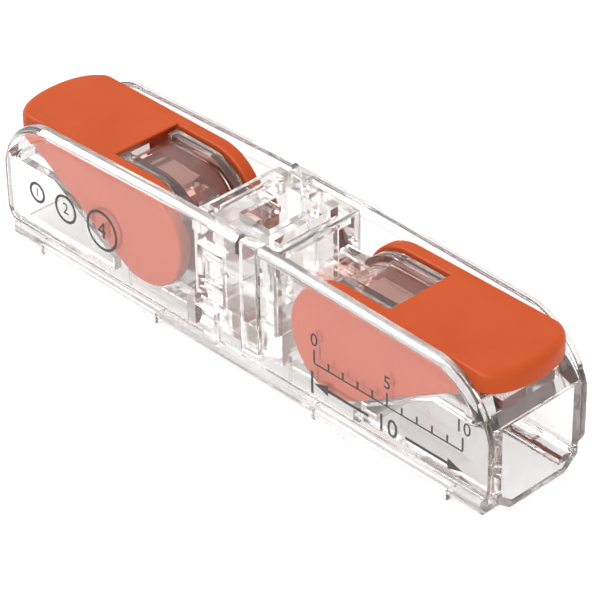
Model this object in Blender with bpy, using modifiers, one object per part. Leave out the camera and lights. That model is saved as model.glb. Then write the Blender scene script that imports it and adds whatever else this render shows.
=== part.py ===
"""Inline lever wire connector with two levers, closed, as an assembly of separate pieces.

Metres, +Z up. X runs along the connector from one wire mouth to the other, and the two ends are the
same piece turned half round about Z. The origin lies under the middle, on the surface it stands on.
"""

import math

import bmesh
import bpy
from mathutils import Matrix, Vector

MM = 0.001

# Overall sizes and fits
LENGTH = 35.5 * MM
HALF_WIDTH = 3.4 * MM  # middle to the outer face of a side wall
WALL = 0.45 * MM  # side wall thickness
FIT = 0.1 * MM  # gap between pieces that rest on or run in each other
MERGE = 0.06 * MM  # how far shapes of one piece reach into each other

# Side walls and their top rails
RAIL_TOP = 8.45 * MM  # rail height beside the centre block
RAIL_FALL = 0.32 * MM  # how much lower the rail is where its end curve starts
RAIL_WIDTH = 0.65 * MM
RAIL_DEPTH = 1.05 * MM
RAIL_ROUND = 0.28 * MM
RAIL_LEVEL = 3.9 * MM  # middle to where the rail begins to fall
CORNER_LENGTH = 3.55 * MM  # length of the curve that drops from the rail to the mouth
CORNER_FOOT = 4.6 * MM  # height where that curve becomes upright
CORNER_SHAPE = 1.7  # exponent of the curve, 2 is an ellipse
RAIL_STOP = 22.0  # degrees of the curve left bare below the rail's end
RAIL_STEP = 0.03 * MM  # rail's inner face behind the wall's
TOE_LENGTH = 0.55 * MM  # lower corner of a wall's end
TOE_HEIGHT = 0.9 * MM
WALL_ROUND = 0.1 * MM

# Openings in the middle of the side walls
SIGHT_INNER = 0.55 * MM  # middle to the edge beside the key lug
SIGHT_OUTER = 2.35 * MM
SIGHT_BOTTOM = 3.45 * MM
SIGHT_TOP = 6.6 * MM

# Wire mouths
BAR_BOTTOM = 5.1 * MM
BAR_TOP = 6.4 * MM
BAR_DEPTH = 1.3 * MM
BAR_ROUND = 0.15 * MM
JAMB_INNER = 2.45 * MM  # half width of the mouth between its jambs
JAMB_DEPTH = 1.4 * MM
ROOF_CLEAR = 1.5 * MM  # spring's bow to the channel's roof
ROOF = 1.1 * MM  # thickness of the channel's roof
CHANNEL_HALF = 1.95 * MM

# Base cover
RIB_HEIGHT = 0.28 * MM  # feet ribs stand this far below the base
RIB_START = 5.7 * MM
RIB_END = 15.1 * MM
RIB_WIDTH = 0.7 * MM
RIB_ROUND = 0.12 * MM
FLOOR = 0.42 * MM
FLANGE = 0.32 * MM
FLANGE_CHAMFER = 0.18 * MM
FLANGE_SET_BACK = 0.55 * MM  # flange end to mouth lip
LIP_FLAT_HALF = 1.9 * MM  # half width of the lower lip's flat bottom
LIP_RISE = 0.74 * MM
LIP_SIDE_TOP = 1.5 * MM
LIP_LENGTH = 5.2 * MM
LIP_ROUND = 0.1 * MM
CRADLE_WIDTH = 0.55 * MM
CRADLE_TOP = 2.7 * MM
CRADLE_OUT = 1.25 * MM  # reach of a cradle past the pivot, towards the mouth
CRADLE_IN = 3.3 * MM

# Snap hooks and their windows in the walls
HOOK_X = 2.0 * MM
HOOK_WIDTH = 1.0 * MM
HOOK_THICK = 0.3 * MM
HOOK_BARB_BOTTOM = 1.75 * MM
HOOK_BARB_TOP = 2.55 * MM
HOOK_PLAY = 0.2 * MM
HOOK_SUNK = 0.1 * MM  # barb's tip below the wall's outer face

# Centre carrier
BLOCK_HALF = 3.0 * MM
BLOCK_TOP = 8.2 * MM
BLOCK_FOOT = 3.2 * MM  # below this the block is narrow, clear of the snap hooks
BLOCK_FOOT_HALF = 2.4 * MM
BLOCK_ROUND = 0.2 * MM
PORT_LENGTH = 2.2 * MM
PORT_WIDTH = 3.3 * MM
MOAT_INNER = 1.95 * MM  # middle to the moat between the port's frame and a lever
MOAT_OUTER = 2.7 * MM
MOAT_WIDTH = 4.4 * MM
MOAT_DEPTH = 0.6 * MM
RIDGE_X = 2.4 * MM
RIDGE_WIDTH = 0.2 * MM
RIDGE_LENGTH = 3.4 * MM
RIDGE_SUNK = 0.15 * MM
LUG_X = 1.45 * MM  # key lug in the wall's slot, diagonal from the snap hook
LUG_WIDTH = 1.3 * MM
LUG_BOTTOM = 1.75 * MM
LUG_TOP = 8.3 * MM
LUG_PROUD = 0.1 * MM  # lug's face past the wall's
STAY_HEIGHTS = (4.0 * MM, 5.9 * MM)  # two cross ribs that show in the wall's opening
STAY = 0.35 * MM
STAY_PROUD = 0.3 * MM
COVER = 0.4 * MM  # thickness of the cover in a lever window
COVER_SUNK = 0.55 * MM  # cover below the lever's top
COVER_HALF = 1.95 * MM
COVER_RIM = 0.65 * MM  # width of the raised rim along each side of it
COVER_RIM_SUNK = 0.2 * MM
COVER_RIM_DEPTH = 0.7 * MM
COVER_START = math.radians(145)  # angle round the pivot where the cover leaves the block's level
COVER_OUT = 2.7 * MM  # pivot to the rims' end at the tab
NOSE_LENGTH = 3.55 * MM  # hook for the spring's fixed leg
NOSE_HEIGHT = 0.9 * MM

# Levers
PIVOT_X = 7.05 * MM
PIVOT_Z = 4.95 * MM
DISC_RADIUS = 3.05 * MM
TAB_SHORT = 0.05 * MM  # tab end to mouth lip
TAB_THICK = 1.25 * MM
TAB_HOLLOW = 0.4 * MM  # depth of the hollow under the tab, between the cheeks
TAB_ROUND = 0.45 * MM  # rounding at the top of the tab's tip
TAB_CROWN = 1.5 * MM  # length of the rounded end in plan
TAB_CROWN_SHAPE = 2.1  # exponent of its curve, 2 is an ellipse
CHEEK = 0.75 * MM
CHEEK_END = 8.95 * MM  # pivot to where the cheek runs out under the tab
WINDOW_OUT = 2.75 * MM  # pivot to the tab's edge at the window
WINDOW_UNDER = 3.45 * MM  # the same at the foot of that edge, which is undercut
LEVER_ROUND = 0.16 * MM
LEVER_TURN = 88.0  # degrees from closed to open
CAM_WIDTH = 0.25 * MM
CAM_RADIUS = 2.75 * MM

# Clamp springs
STRIP = 0.3 * MM
SPRING_HALF = 1.6 * MM  # half width of the tongue
LEG_HALF = 0.7 * MM  # half width of the fixed leg, bow and hook
LEG_Z = 6.55 * MM  # height of the fixed leg
BOW_OUT = 2.45 * MM  # pivot to the bow's centre
BOW_RADIUS = 0.9 * MM
BOW_SPLIT = -20.0  # degrees round the bow where the fixed leg ends
HOOK_DROP = 0.6 * MM
TIP_IN = 1.45 * MM  # pivot to the tongue's tip
EAR_RADIUS = 0.3 * MM
EAR_REACH = 0.15 * MM  # length of an ear under its cam
EAR_SHARE = 0.5  # place of the ears along the tongue's straight leg
TONGUE_TURN = 26.0  # degrees lifted when the lever is open

# Busbar
BUSBAR = 0.5 * MM
BUSBAR_HALF_LENGTH = 9.0 * MM
BUSBAR_HALF_WIDTH = 1.6 * MM
BUSBAR_ROUND = 0.12 * MM

# Worked out from the sizes above
END = LENGTH / 2
WALL_INNER = HALF_WIDTH - WALL
INSIDE = WALL_INNER - FIT  # half width of whatever sits between the walls
BASE_BOTTOM = RIB_HEIGHT
FLANGE_TOP = BASE_BOTTOM + FLANGE
FLOOR_TOP = BASE_BOTTOM + FLOOR
WALL_BOTTOM = FLANGE_TOP + FIT
CHEEK_INNER = INSIDE - CHEEK
CAM_INNER = CHEEK_INNER - CAM_WIDTH
EAR_END = CAM_INNER + EAR_REACH
BUSBAR_TOP = FLOOR_TOP + FIT + BUSBAR
BOW_X = PIVOT_X + BOW_OUT
BOW_Z = LEG_Z - BOW_RADIUS
ROOF_START = BOW_X + BOW_RADIUS + STRIP / 2 + ROOF_CLEAR
TIP_X = PIVOT_X - TIP_IN
TIP_Z = BUSBAR_TOP + FIT + STRIP / 2
ARC_STEP = math.radians(6)
TOE_STEPS = 6
SMOOTH_BELOW = math.radians(30)  # edges that turn by more than this are drawn sharp
FLAT_WITHIN = math.radians(0.2)  # faces that differ by less become one polygon
BEVEL_ABOVE = math.radians(35)  # edges that turn by more than this are rounded
WELD = 1e-7  # metres
LEAST_MITRE = 0.5  # holds a sharp bend's corner back


def clear_scene():
    for obj in list(bpy.data.objects):
        bpy.data.objects.remove(obj)


def new_collection(name):
    collection = bpy.data.collections.new(name)
    bpy.context.scene.collection.children.link(collection)
    return collection


clear_scene()
PARTS = new_collection("lever_wire_connector")
TOOLS = new_collection("cutters_and_joined_shapes")


def material(name, colour, roughness, metallic=0.0, transmission=0.0):
    made = bpy.data.materials.new(name)
    made.use_nodes = True
    shader = made.node_tree.nodes["Principled BSDF"]
    shader.inputs["Base Color"].default_value = (*colour, 1.0)
    shader.inputs["Roughness"].default_value = roughness
    shader.inputs["Metallic"].default_value = metallic
    shader.inputs["Transmission Weight"].default_value = transmission
    return made


CLEAR = material("clear_polycarbonate", (0.93, 0.93, 0.92), 0.06, transmission=0.9)
ORANGE = material("orange_polyamide", (0.72, 0.12, 0.035), 0.38)
STEEL = material("spring_steel", (0.60, 0.60, 0.58), 0.25, metallic=1.0)
TINNED = material("tinned_copper", (0.74, 0.72, 0.68), 0.32, metallic=1.0)


def arc(centre, radius, start, end):
    """Points from angle start to end, in radians, both included."""
    steps = max(2, math.ceil(abs(end - start) / ARC_STEP))
    angles = [start + (end - start) * i / steps for i in range(steps + 1)]
    return [
        (centre[0] + radius * math.cos(a), centre[1] + radius * math.sin(a))
        for a in angles
    ]


def corner_curve(inset_x, inset_z, stop=0.0, steps=16):
    """End curve of a side wall, from its top to the angle stop, set in from the outline."""
    across, up = CORNER_LENGTH - inset_x, RAIL_TOP - RAIL_FALL - CORNER_FOOT - inset_z
    points = []
    for i in range(steps + 1):
        a = math.radians(90.0 + (stop - 90.0) * i / steps)
        x = END - CORNER_LENGTH + across * max(math.cos(a), 0.0) ** (2 / CORNER_SHAPE)
        z = CORNER_FOOT + up * max(math.sin(a), 0.0) ** (2 / CORNER_SHAPE)
        points.append((x, z))
    return points


def mirrored(points):
    return [(-u, v) for u, v in points]


# Local axes of an outline: first along X or Y, second along Y or Z, thickness along the third.
PLANES = {
    "XY": Matrix.Identity(4),
    "XZ": Matrix.Rotation(math.radians(90), 4, "X"),
    "YZ": Matrix(((0, 0, 1, 0), (1, 0, 0, 0), (0, 1, 0, 0), (0, 0, 0, 1))),
}


def mesh_object(name, mesh, collection):
    obj = bpy.data.objects.new(name, mesh)
    collection.objects.link(obj)
    return obj


def tidy(mesh):
    """Weld a mesh, make its flat faces single polygons and turn every face out."""
    shape = bmesh.new()
    shape.from_mesh(mesh)
    bmesh.ops.remove_doubles(shape, verts=shape.verts, dist=WELD)
    bmesh.ops.dissolve_limit(
        shape, angle_limit=FLAT_WITHIN, verts=shape.verts, edges=shape.edges
    )
    bmesh.ops.recalc_face_normals(shape, faces=shape.faces)
    shape.to_mesh(mesh)
    shape.free()


def plate(name, points, plane, low, high, collection=None):
    """A flat outline given thickness from low to high along the axis square to its plane."""
    curve = bpy.data.curves.new(name, "CURVE")
    curve.dimensions = "2D"
    curve.fill_mode = "BOTH"
    curve.extrude = (high - low) / 2 / MM
    spline = curve.splines.new("POLY")
    spline.points.add(len(points) - 1)
    for point, (u, v) in zip(spline.points, points):
        point.co = (u / MM, v / MM, 0.0, 1.0)
    spline.use_cyclic_u = True
    guide = mesh_object(name + "_outline", curve, TOOLS)
    graph = bpy.context.evaluated_depsgraph_get()
    mesh = bpy.data.meshes.new_from_object(guide.evaluated_get(graph))
    bpy.data.objects.remove(guide)
    middle = Vector((0, 0, 0))
    square_to_plane = (set("XYZ") - set(plane)).pop()
    middle["XYZ".index(square_to_plane)] = (low + high) / 2
    mesh.transform(Matrix.Translation(middle) @ PLANES[plane] @ Matrix.Scale(MM, 4))
    tidy(mesh)
    return mesh_object(name, mesh, collection or TOOLS)


def block(name, low, high, collection=None):
    """A box between two corners."""
    low, high = Vector(low), Vector(high)
    shape = bmesh.new()
    bmesh.ops.create_cube(shape, size=1.0)
    bmesh.ops.scale(shape, vec=high - low, verts=shape.verts)
    bmesh.ops.translate(shape, vec=(low + high) / 2, verts=shape.verts)
    mesh = bpy.data.meshes.new(name)
    shape.to_mesh(mesh)
    shape.free()
    return mesh_object(name, mesh, collection or TOOLS)


def rounded(obj, width, segments=2):
    bevel = obj.modifiers.new("rounded_edges", "BEVEL")
    bevel.width = width
    bevel.segments = segments
    bevel.limit_method = "ANGLE"
    bevel.angle_limit = BEVEL_ABOVE
    bevel.use_clamp_overlap = True
    return obj


def boolean(obj, tool, operation):
    modifier = obj.modifiers.new(tool.name, "BOOLEAN")
    modifier.operation = operation
    modifier.solver = "EXACT"
    modifier.object = tool
    tool.hide_render = True
    tool.display_type = "WIRE"


def join(obj, *tools):
    for tool in tools:
        boolean(obj, tool, "UNION")


def cut(obj, *tools):
    for tool in tools:
        boolean(obj, tool, "DIFFERENCE")


def finished_mesh(obj):
    """The object's mesh with its modifiers applied, for pieces that share one shape."""
    graph = bpy.context.evaluated_depsgraph_get()
    mesh = bpy.data.meshes.new_from_object(obj.evaluated_get(graph))
    tidy(mesh)
    obj.hide_render = True
    obj.display_type = "WIRE"
    return mesh


def dress(obj, finish):
    obj.data.materials.clear()
    obj.data.materials.append(finish)
    obj.data.shade_smooth()
    obj.data.set_sharp_from_angle(angle=SMOOTH_BELOW)


def side_span(side, near, far):
    """Low and high Y of a shape that reaches from near to far on one side of the middle."""
    return (near, far) if side > 0 else (-far, -near)


def wall_outline():
    """Side wall from the middle to the mouth at +X, as an upper and a lower run of points."""
    inset = RAIL_DEPTH / 2
    top = [(RAIL_LEVEL, RAIL_TOP - inset), *corner_curve(MERGE, inset)]
    toe = [
        (END - MERGE - TOE_LENGTH * (1 - math.sin(a)), WALL_BOTTOM + TOE_HEIGHT * (1 - math.cos(a)))
        for a in (math.pi / 2 * (1 - i / TOE_STEPS) for i in range(TOE_STEPS + 1))
    ]
    return top + toe


def housing_shell():
    """Clear body: two side walls with rails, bars and jambs of the mouths, channel roofs."""
    half = wall_outline()
    outline = half + mirrored(half)[::-1]
    shell = plate("housing_shell", outline, "XZ", -HALF_WIDTH, -WALL_INNER, PARTS)
    rounded(shell, WALL_ROUND)
    far_wall = rounded(plate("far_wall", outline, "XZ", WALL_INNER, HALF_WIDTH), WALL_ROUND)
    bars = []
    for end, mouth in ((1, "right"), (-1, "left")):
        back = END - BAR_DEPTH
        curve = corner_curve(2 * MERGE, RAIL_DEPTH)
        front = [(x, z) for x, z in curve if x > back and BAR_BOTTOM < z < BAR_TOP]
        bar = [
            (back, BAR_BOTTOM),
            (back, BAR_TOP),
            *front,
            (END - 2 * MERGE, BAR_BOTTOM),
        ]
        bar = bar if end > 0 else mirrored(bar)
        reach = WALL_INNER + WALL / 2
        bars.append(rounded(plate(mouth + "_bar", bar, "XZ", -reach, reach), BAR_ROUND))
    join(shell, bars[0], far_wall, bars[1])
    for end, mouth in ((1, "right"), (-1, "left")):
        roof_x = sorted((end * ROOF_START, end * (END - BAR_DEPTH / 2)))
        roof_low = BAR_BOTTOM + MERGE
        join(
            shell,
            block(
                mouth + "_roof",
                (roof_x[0], -CHANNEL_HALF, roof_low),
                (roof_x[1], CHANNEL_HALF, roof_low + ROOF),
            ),
        )
        for side in (-1, 1):
            jamb_x = sorted((end * (END - JAMB_DEPTH), end * (END - 2 * MERGE)))
            low, high = side_span(side, JAMB_INNER, WALL_INNER + MERGE)
            jamb_low = LIP_SIDE_TOP + FIT
            jamb = block(
                f"{mouth}_jamb_{'far' if side > 0 else 'near'}",
                (jamb_x[0], low, jamb_low),
                (jamb_x[1], high, BAR_BOTTOM + MERGE),
            )
            join(shell, jamb)
    for side in (-1, 1):
        low, high = side_span(side, WALL_INNER + RAIL_STEP, WALL_INNER + RAIL_WIDTH)
        rail = plate("far_rail" if side > 0 else "near_rail", rail_outline(), "XZ", low, high)
        join(shell, rounded(rail, RAIL_ROUND, segments=5))
        low, high = side_span(side, WALL_INNER - WALL, HALF_WIDTH + WALL)
        hook_x, lug_x = side * HOOK_X, -side * LUG_X
        sight_low, sight_high = side_span(side, SIGHT_INNER, SIGHT_OUTER)
        hook_half = HOOK_WIDTH / 2 + HOOK_PLAY
        lug_half = LUG_WIDTH / 2 + FIT
        name = "far" if side > 0 else "near"
        cut(
            shell,
            block(
                name + "_hook_window",
                (hook_x - hook_half, low, HOOK_BARB_BOTTOM - HOOK_PLAY),
                (hook_x + hook_half, high, HOOK_BARB_TOP + HOOK_PLAY),
            ),
            block(
                name + "_lug_slot",
                (lug_x - lug_half, low, LUG_BOTTOM - FIT),
                (lug_x + lug_half, high, RAIL_TOP + WALL),
            ),
            block(
                name + "_sight",
                (sight_low, low, SIGHT_BOTTOM),
                (sight_high, high, SIGHT_TOP),
            ),
        )
    dress(shell, CLEAR)


def rail_outline():
    """Rail along the top of a side wall, from one mouth to the other."""
    outer = [(RAIL_LEVEL, RAIL_TOP), *corner_curve(0.0, 0.0, RAIL_STOP)]
    inner = [
        (RAIL_LEVEL, RAIL_TOP - RAIL_DEPTH),
        *corner_curve(RAIL_DEPTH, RAIL_DEPTH, RAIL_STOP),
    ]
    half = outer + inner[::-1]
    return half + mirrored(half)[::-1]


def lip_outline():
    """Lower lip of a mouth: a flat floor with slanted sides, seen along X."""
    run = INSIDE - LIP_FLAT_HALF
    slant = math.hypot(run, LIP_RISE)
    inner_y = LIP_FLAT_HALF - FLOOR * LIP_RISE / slant
    inner_z = BASE_BOTTOM + FLOOR * run / slant
    half = [
        (LIP_FLAT_HALF, BASE_BOTTOM),
        (INSIDE, BASE_BOTTOM + LIP_RISE),
        (INSIDE, LIP_SIDE_TOP),
        (INSIDE - FLOOR, LIP_SIDE_TOP),
        (INSIDE - FLOOR, inner_z + (INSIDE - FLOOR - inner_y) * LIP_RISE / run),
        (inner_y + (FLOOR_TOP - inner_z) * run / LIP_RISE, FLOOR_TOP),
    ]
    return half + mirrored(half)[::-1]


def cradle_outline():
    """Seat of a lever disc at the +X end, with its hollow round the pivot."""
    radius = DISC_RADIUS + FIT
    inner_angle = -math.pi + math.asin((PIVOT_Z - CRADLE_TOP) / radius)
    outer_angle = -math.acos(CRADLE_OUT / radius)
    foot = FLOOR_TOP - MERGE
    return [
        (PIVOT_X - CRADLE_IN, foot),
        (PIVOT_X - CRADLE_IN, CRADLE_TOP),
        *arc((PIVOT_X, PIVOT_Z), radius, inner_angle, outer_angle),
        (PIVOT_X + CRADLE_OUT, foot),
    ]


def hook_outline(side):
    """Snap hook seen along X: a thin arm with a slanted barb that faces out."""
    arm_inner = INSIDE - HOOK_THICK
    points = [
        (arm_inner, FLOOR_TOP - MERGE),
        (INSIDE, FLOOR_TOP - MERGE),
        (INSIDE, HOOK_BARB_BOTTOM),
        (HALF_WIDTH - HOOK_SUNK, HOOK_BARB_BOTTOM),
        (INSIDE, HOOK_BARB_TOP),
        (arm_inner, HOOK_BARB_TOP),
    ]
    return points if side > 0 else mirrored(points)


def base_cover():
    """Clear floor with lower mouth lips, feet ribs, lever cradles and snap hooks."""
    half = [
        (HALF_WIDTH - FLANGE_CHAMFER, BASE_BOTTOM),
        (HALF_WIDTH, BASE_BOTTOM + FLANGE_CHAMFER),
        (HALF_WIDTH, FLANGE_TOP),
        (INSIDE, FLANGE_TOP),
        (INSIDE, FLOOR_TOP),
    ]
    outline = half + mirrored(half)[::-1]
    reach = END - FLANGE_SET_BACK
    base = plate("base_cover", outline, "YZ", -reach, reach, PARTS)
    cradle_mid = INSIDE - CHEEK / 2
    for end, mouth in ((1, "right"), (-1, "left")):
        low, high = side_span(end, END - LIP_LENGTH, END)
        join(base, rounded(plate(mouth + "_lip", lip_outline(), "YZ", low, high), LIP_ROUND))
        rib_low, rib_high = side_span(end, RIB_START, RIB_END)
        cradle = cradle_outline() if end > 0 else mirrored(cradle_outline())
        for side in (-1, 1):
            name = f"{mouth}_{'far' if side > 0 else 'near'}"
            low, high = side_span(side, HALF_WIDTH - RIB_WIDTH, HALF_WIDTH + MERGE)
            rib = block(name + "_rib", (rib_low, low, 0.0), (rib_high, high, FLANGE_TOP - MERGE))
            join(base, rounded(rib, RIB_ROUND))
            low, high = side_span(
                side, cradle_mid - CRADLE_WIDTH / 2, cradle_mid + CRADLE_WIDTH / 2
            )
            join(base, plate(name + "_cradle", cradle, "XZ", low, high))
    for side in (-1, 1):
        middle = side * HOOK_X
        name = ("far" if side > 0 else "near") + "_hook"
        low, high = middle - HOOK_WIDTH / 2, middle + HOOK_WIDTH / 2
        join(base, plate(name, hook_outline(side), "YZ", low, high))
    dress(base, CLEAR)


def cover_outline(sunk, thick, end):
    """Side view of a window cover at +X: round the pivot like the lever's disc, then level."""
    foot, rise = BLOCK_HALF - MERGE - PIVOT_X, math.sin(COVER_START)
    upper, lower = DISC_RADIUS - sunk, DISC_RADIUS - sunk - thick
    points = [
        (foot, upper * rise),
        *arc((0, 0), upper, COVER_START, math.pi / 2),
        (end, upper),
        (end, lower),
        *arc((0, 0), lower, math.pi / 2, COVER_START),
        (foot, lower * rise),
    ]
    return [(PIVOT_X + u, PIVOT_Z + w) for u, w in points]


def centre_carrier():
    """Clear insert between the levers: test port, window covers, spring noses, key lugs."""
    carrier = block(
        "centre_carrier",
        (-BLOCK_HALF, -INSIDE, BLOCK_FOOT),
        (BLOCK_HALF, INSIDE, BLOCK_TOP),
        PARTS,
    )
    rounded(carrier, BLOCK_ROUND, segments=3)
    foot_half = BLOCK_HALF - MERGE
    foot = block(
        "carrier_foot",
        (-foot_half, -BLOCK_FOOT_HALF, BUSBAR_TOP + FIT),
        (foot_half, BLOCK_FOOT_HALF, BLOCK_FOOT + BLOCK_ROUND + MERGE),
    )
    join(carrier, foot)
    nose_top = LEG_Z - STRIP / 2 - FIT
    for end, mouth in ((1, "right"), (-1, "left")):
        cover = cover_outline(COVER_SUNK, COVER, COVER_OUT - FIT)
        cover = cover if end > 0 else mirrored(cover)
        reach = COVER_HALF - COVER_RIM + MERGE
        join(carrier, plate(mouth + "_cover", cover, "XZ", -reach, reach))
        rim = cover_outline(COVER_RIM_SUNK, COVER_RIM_DEPTH, COVER_OUT)
        rim = rim if end > 0 else mirrored(rim)
        for side in (-1, 1):
            low, high = side_span(side, COVER_HALF - COVER_RIM, COVER_HALF)
            join(carrier, plate(f"{mouth}_cover_rim_{side}", rim, "XZ", low, high))
        low, high = side_span(end, foot_half, BLOCK_HALF + NOSE_LENGTH)
        nose = block(
            mouth + "_nose",
            (low, -LEG_HALF, nose_top - NOSE_HEIGHT),
            (high, LEG_HALF, nose_top),
        )
        join(carrier, nose)
    for side in (-1, 1):
        middle = -side * LUG_X
        low, high = side_span(side, INSIDE - BLOCK_ROUND - MERGE, HALF_WIDTH + LUG_PROUD)
        lug = block(
            ("far" if side > 0 else "near") + "_lug",
            (middle - LUG_WIDTH / 2, low, LUG_BOTTOM),
            (middle + LUG_WIDTH / 2, high, LUG_TOP),
        )
        join(carrier, rounded(lug, WALL_ROUND))
        stay_low, stay_high = side_span(side, SIGHT_INNER + FIT, SIGHT_OUTER - FIT)
        low, high = side_span(side, INSIDE - MERGE, INSIDE + STAY_PROUD)
        for number, height in enumerate(STAY_HEIGHTS):
            stay = block(
                f"{lug.name}_stay_{number}",
                (stay_low, low, height),
                (stay_high, high, height + STAY),
            )
            join(carrier, stay)
    moat_bottom = BLOCK_TOP - MOAT_DEPTH
    for end, mouth in ((1, "right"), (-1, "left")):
        low, high = side_span(end, MOAT_INNER, MOAT_OUTER)
        moat = block(
            mouth + "_moat",
            (low, -MOAT_WIDTH / 2, moat_bottom),
            (high, MOAT_WIDTH / 2, BLOCK_TOP + WALL),
        )
        cut(carrier, moat)
        low, high = side_span(end, RIDGE_X - RIDGE_WIDTH / 2, RIDGE_X + RIDGE_WIDTH / 2)
        ridge = block(
            mouth + "_ridge",
            (low, -RIDGE_LENGTH / 2, moat_bottom - MERGE),
            (high, RIDGE_LENGTH / 2, BLOCK_TOP - RIDGE_SUNK),
        )
        join(carrier, ridge)
    port = block(
        "test_port",
        (-PORT_LENGTH / 2, -PORT_WIDTH / 2, 0.0),
        (PORT_LENGTH / 2, PORT_WIDTH / 2, BLOCK_TOP + WALL),
    )
    cut(carrier, port)
    dress(carrier, CLEAR)


def turned(point, degrees):
    """A point turned about the origin, from +X towards +Z."""
    a = math.radians(degrees)
    u, w = point
    return (u * math.cos(a) - w * math.sin(a), u * math.sin(a) + w * math.cos(a))


def tongue_leg():
    """Angle where the tongue leaves its bow, and the leg's start and tip from the bow's centre."""
    tip = (TIP_X - BOW_X, TIP_Z - BOW_Z)
    leave = math.atan2(tip[1], tip[0]) + math.acos(BOW_RADIUS / math.hypot(*tip))
    start = (BOW_RADIUS * math.cos(leave), BOW_RADIUS * math.sin(leave))
    return leave, start, tip


def ear_place():
    """Middle of the tongue's ears, from the bow's centre."""
    _, start, tip = tongue_leg()
    return tuple(s + EAR_SHARE * (t - s) for s, t in zip(start, tip))


def cam_outline(steps=16):
    """Cam rib of the lever at +X: the track that its ear takes as both turn, and an outer arc."""
    bow = (BOW_X - PIVOT_X, BOW_Z - PIVOT_Z)
    track = []
    for i in range(steps + 1):
        share = i / steps
        lifted = turned(ear_place(), -TONGUE_TURN * share)
        track.append(turned((bow[0] + lifted[0], bow[1] + lifted[1]), -LEVER_TURN * share))
    clear = EAR_RADIUS + FIT
    edge = []
    for i, (u, w) in enumerate(track):
        before, after = track[max(i - 1, 0)], track[min(i + 1, steps)]
        along = Vector((after[0] - before[0], after[1] - before[1])).normalized()
        away = Vector((along.y, -along.x))
        away = away if away.dot(Vector((u, w))) > 0 else -away
        edge.append((u + away.x * clear, w + away.y * clear))
    first = math.atan2(edge[0][1], edge[0][0])
    last = math.atan2(edge[-1][1], edge[-1][0])
    last = last - 2 * math.pi if last > first else last
    return edge + arc((0, 0), CAM_RADIUS, last, first)


def lever_outline():
    """Side view of the lever at +X from its pivot: disc, slanted cheek and tab."""
    past_tab = END + WALL - PIVOT_X
    top, under = DISC_RADIUS, DISC_RADIUS - TAB_THICK
    far = math.hypot(CHEEK_END, under)
    touch = math.atan2(under, CHEEK_END) - math.acos(DISC_RADIUS / far)
    return [
        *arc((0, 0), DISC_RADIUS, math.pi / 2, 2 * math.pi + touch),
        (CHEEK_END, under),
        (past_tab, under),
        (past_tab, top),
    ]


def tab_plan(steps=20):
    """Plan view of a lever from its pivot, with the tab's crowned end."""
    crown = END - TAB_SHORT - PIVOT_X - TAB_CROWN
    back = -DISC_RADIUS - WALL
    points = [(back, -INSIDE), (back, INSIDE)]
    for i in range(steps + 1):
        a = math.pi / 2 - math.pi * i / steps
        power = 2 / TAB_CROWN_SHAPE
        x = crown + TAB_CROWN * max(math.cos(a), 0.0) ** power
        points.append((x, math.copysign(INSIDE * abs(math.sin(a)) ** power, a)))
    return points


def weigh_lever_edges(mesh):
    """Bevel weights: small along the cheeks, a full round at the tab's tip, none in its hollow."""
    crown = END - TAB_SHORT - PIVOT_X - TAB_CROWN
    hollow_end = CHEEK_END + WALL
    least = LEVER_ROUND / TAB_ROUND
    shape = bmesh.new()
    shape.from_mesh(mesh)
    weight = shape.edges.layers.float.new("bevel_weight_edge")
    for edge in shape.edges:
        middle = (edge.verts[0].co + edge.verts[1].co) / 2
        along_hollow = WINDOW_OUT + WELD < middle.x < hollow_end + WELD
        in_hollow = along_hollow and abs(middle.y) < CHEEK_INNER + WELD
        if edge.calc_face_angle(0.0) > BEVEL_ABOVE and not in_hollow:
            tip = min(max((middle.x - crown) / (TAB_CROWN / 2), 0.0), 1.0)
            on_top = middle.z > DISC_RADIUS - WELD
            edge[weight] = least + (1 - least) * tip * on_top
    shape.to_mesh(mesh)
    shape.free()


def lever_mesh():
    lever = plate("lever_blank", lever_outline(), "XZ", -HALF_WIDTH, HALF_WIDTH)
    plan = plate("lever_plan", tab_plan(), "XY", -2 * DISC_RADIUS, 2 * DISC_RADIUS)
    boolean(lever, plan, "INTERSECT")
    deep = 2 * DISC_RADIUS
    hollow_end = CHEEK_END + WALL
    roof = DISC_RADIUS - TAB_THICK + TAB_HOLLOW
    window = [
        (-deep, -deep),
        (hollow_end, -deep),
        (hollow_end, roof),
        (WINDOW_UNDER, roof),
        (WINDOW_OUT, DISC_RADIUS),
        (WINDOW_OUT, deep),
        (-deep, deep),
    ]
    cut(lever, plate("lever_window", window, "XZ", -CHEEK_INNER, CHEEK_INNER))
    shaped = mesh_object("lever_shaped", finished_mesh(lever), TOOLS)
    weigh_lever_edges(shaped.data)
    bevel = rounded(shaped, TAB_ROUND, segments=4).modifiers["rounded_edges"]
    bevel.limit_method = "WEIGHT"
    bevel.use_clamp_overlap = False
    bevel.loop_slide = False
    for side in (-1, 1):
        low, high = side_span(side, CAM_INNER, CHEEK_INNER + CHEEK / 3)
        join(shaped, plate(f"lever_cam_{side}", cam_outline(), "XZ", low, high))
    return finished_mesh(shaped)


def strip_outline(path):
    """Side view of a bent strip of even thickness, from its middle line."""
    left, right = [], []
    for i, point in enumerate(path):
        here = Vector(point)
        before = (here - Vector(path[i - 1])).normalized() if i else None
        after = (Vector(path[i + 1]) - here).normalized() if i + 1 < len(path) else None
        before, after = before or after, after or before
        along = (before + after).normalized()
        mitre = STRIP / 2 / max(along.dot(after), LEAST_MITRE)
        across = Vector((-along.y, along.x)) * mitre
        left.append(tuple(here + across))
        right.append(tuple(here - across))
    return left + right[::-1]


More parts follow.
